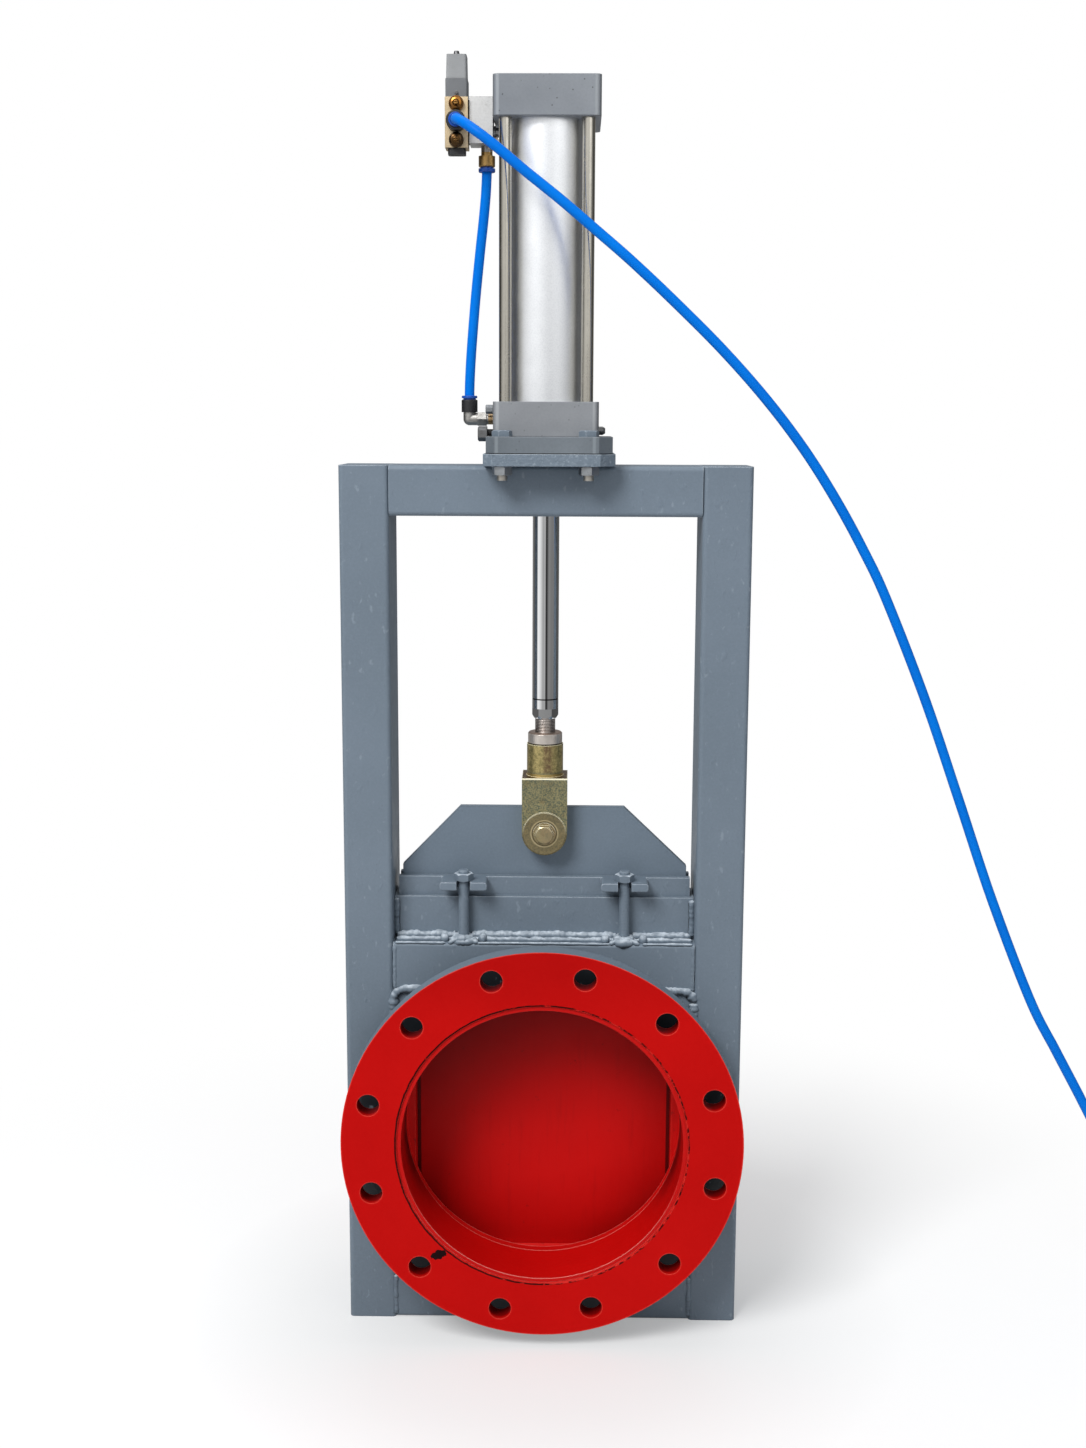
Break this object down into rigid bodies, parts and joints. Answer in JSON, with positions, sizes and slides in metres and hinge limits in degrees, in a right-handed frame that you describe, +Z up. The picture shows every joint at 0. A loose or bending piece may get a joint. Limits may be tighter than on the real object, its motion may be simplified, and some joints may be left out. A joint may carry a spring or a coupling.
{
  "type": "pneumatic slide gate valve",
  "caption": "Flanged slide gate valve for bulk material, closed, with an air cylinder on a tubular frame, a solenoid pilot valve and a blue air hose.",
  "frame": {"origin": "on the floor, in the middle of the frame's foot, in the plane of the gate", "axes": "+Z up along the gate's travel, +Y through the pipe from the front flange to the rear flange, +X to the right seen from the front flange"},
  "size_m": [0.9558, 0.2, 1.2507],
  "materials": {
    "frame_paint": "semi-gloss grey-blue paint",
    "cap_paint": "satin grey paint",
    "flange_paint": "semi-gloss red paint",
    "pipe_steel": "red painted inside, bare weld outside",
    "fastener_steel": "zinc plated",
    "rod_chrome": "polished hard chrome",
    "tie_rod_steel": "drawn and polished",
    "barrel_alloy": "satin anodised",
    "block_alloy": "satin",
    "bright_brass": "turned",
    "bronze": "turned",
    "yellow_zinc": "yellow passivated zinc",
    "black_plastic": "satin",
    "coil_plastic": "satin",
    "plug_plastic": "satin",
    "ring_plastic": "glossy",
    "hose_blue": "glossy polyurethane",
    "seal_rubber": "matte",
    "packing_braid": "greased braid",
    "guide_plastic": "low friction"
  },
  "bodies": {
    "valve": {"left_leg": "frame_paint", "right_leg": "frame_paint", "top_crossbar": "frame_paint", "bottom_crossbar": "frame_paint", "front_body_beam": "frame_paint", "rear_body_beam": "frame_paint", "front_cheek_plate": "frame_paint", "rear_cheek_plate": "frame_paint", "seat_bars": "flange_paint", "gate_guides": "guide_plastic", "front_pipe_stub": "pipe_steel", "rear_pipe_stub": "pipe_steel", "front_flange": "flange_paint", "rear_flange": "flange_paint", "packing_box": "frame_paint", "packing_rings": "packing_braid", "front_gland": "frame_paint", "rear_gland": "frame_paint", "gland_studs": "frame_paint", "gland_nuts": "frame_paint", "frame_welds": "frame_paint", "mount_plate": "frame_paint", "cylinder_flange": "cap_paint", "mount_bolts": "fastener_steel", "mount_nuts": "fastener_steel", "bottom_cap": "cap_paint", "top_cap": "cap_paint", "barrel": "barrel_alloy", "tie_rods": "tie_rod_steel", "tie_rod_nuts": "fastener_steel", "rod_bush": "bronze", "side_plugs": "fastener_steel", "manifold_block": "block_alloy", "gaskets": "seal_rubber", "valve_body": "block_alloy", "valve_end_cap": "black_plastic", "solenoid_coil": "coil_plastic", "connector_housing": "plug_plastic", "connector_screw": "fastener_steel", "silencers": "bright_brass", "supply_fitting": "black_plastic", "upper_fitting": "bright_brass", "down_hose": "hose_blue", "elbow_fitting": "fastener_steel", "elbow_nut": "black_plastic", "supply_hose": "hose_blue", "hose_coil": "hose_blue"},
    "gate": {"gate_blade": "frame_paint", "clevis": "yellow_zinc", "clevis_bolt": "yellow_zinc", "locknut": "yellow_zinc", "piston_rod": "rod_chrome", "piston": "block_alloy"},
    "override_button": {"override_button": "bright_brass"},
    "cushion_screw": {"cushion_screw": "fastener_steel"},
    "upper_throttle_screw": {"upper_throttle_screw": "bright_brass"},
    "lower_throttle_screw": {"lower_throttle_screw": "bright_brass"},
    "supply_release_ring": {"supply_release_ring": "ring_plastic"},
    "upper_release_ring": {"upper_release_ring": "ring_plastic"},
    "lower_release_ring": {"lower_release_ring": "ring_plastic"}
  },
  "joints": [
    {"name": "gate_slide", "type": "slide", "parent": "valve", "child": "gate", "axis": [0, 0, 1], "range_m": [0, 0.25]},
    {"name": "override_press", "type": "slide", "parent": "valve", "child": "override_button", "axis": [0, 1, 0], "range_m": [0, 0.001], "stiffness_N_per_m": 300, "springref_m": -0.001},
    {"name": "cushion_turn", "type": "hinge", "parent": "valve", "child": "cushion_screw", "pos_m": [-0.05, -0.01, 0.9235], "axis": [1, 0, 0], "continuous": true},
    {"name": "upper_throttle_turn", "type": "hinge", "parent": "valve", "child": "upper_throttle_screw", "pos_m": [-0.08475, -0.024, 1.2027], "axis": [0, 1, 0], "continuous": true},
    {"name": "lower_throttle_turn", "type": "hinge", "parent": "valve", "child": "lower_throttle_screw", "pos_m": [-0.08475, -0.024, 1.1703], "axis": [0, 1, 0], "continuous": true},
    {"name": "supply_release_ring_press", "type": "slide", "parent": "valve", "child": "supply_release_ring", "axis": [0, 1, 0], "range_m": [0, 0.0012], "stiffness_N_per_m": 300, "springref_m": -0.001},
    {"name": "upper_release_ring_press", "type": "slide", "parent": "valve", "child": "upper_release_ring", "axis": [0, 0, 1], "range_m": [0, 0.0012], "stiffness_N_per_m": 300, "springref_m": -0.001},
    {"name": "lower_release_ring_press", "type": "slide", "parent": "valve", "child": "lower_release_ring", "axis": [0, 0, -1], "range_m": [0, 0.0012], "stiffness_N_per_m": 300, "springref_m": -0.001}
  ]
}
